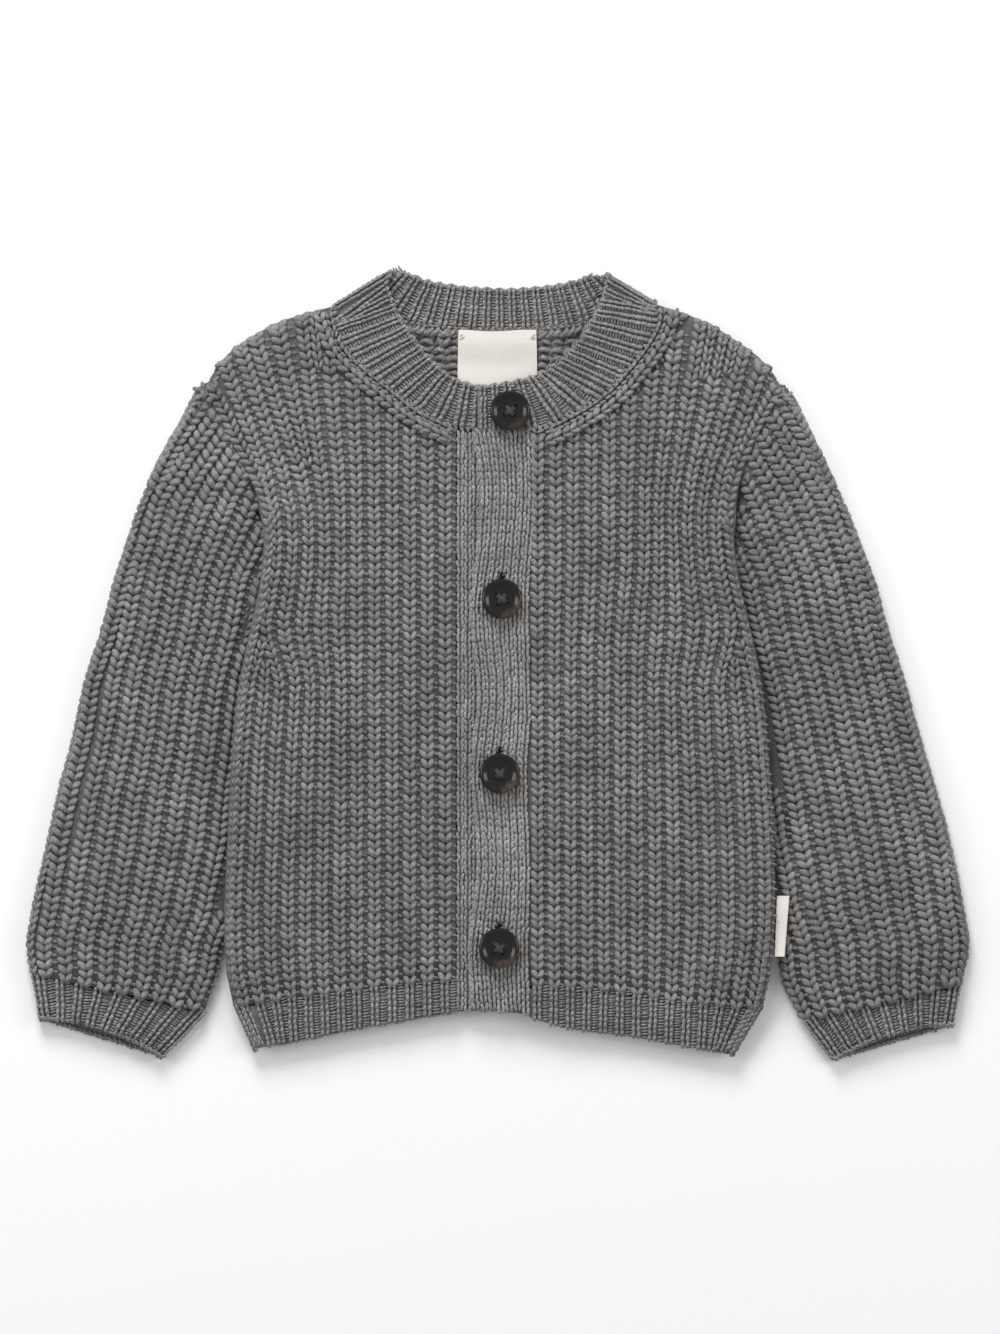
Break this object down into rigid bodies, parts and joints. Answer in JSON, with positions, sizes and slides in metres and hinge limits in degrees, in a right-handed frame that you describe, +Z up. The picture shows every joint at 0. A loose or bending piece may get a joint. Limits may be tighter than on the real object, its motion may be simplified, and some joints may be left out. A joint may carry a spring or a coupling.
{
  "type": "baby cardigan",
  "caption": "Baby cardigan in chunky grey rib knit, buttoned down the front and laid flat with its long sleeves at its sides.",
  "frame": {"origin": "centre of the garment's outline, on the table under it", "axes": "+X to the wearer's left, +Y to the neck, +Z up from the table out of the front"},
  "size_m": [0.3944, 0.3319, 0.0142],
  "materials": {
    "chunky_rib": "matte, mottled grey yarn in half-cardigan rib",
    "fine_rib": "matte, the same yarn in fine rib",
    "band_knit": "matte, the same yarn in close stockinette",
    "label_tape": "matte woven tape, bare",
    "horn": "polished dark horn look with brown mottling",
    "thread": "dark sewing thread"
  },
  "bodies": {
    "root": {"back": "chunky_rib", "back_hem": "fine_rib", "front_right": "chunky_rib", "front_right_hem": "fine_rib", "front_left": "chunky_rib", "front_left_hem": "fine_rib", "under_band": "band_knit", "button_band": "band_knit", "sleeve_right": "chunky_rib", "sleeve_left": "chunky_rib", "cuff_right": "fine_rib", "cuff_left": "fine_rib", "neckband": "fine_rib", "label_neck": "label_tape", "label_side": "label_tape", "button_1": "horn", "button_thread_1": "thread", "button_2": "horn", "button_thread_2": "thread", "button_3": "horn", "button_thread_3": "thread", "button_4": "horn", "button_thread_4": "thread"}
  },
  "joints": []
}
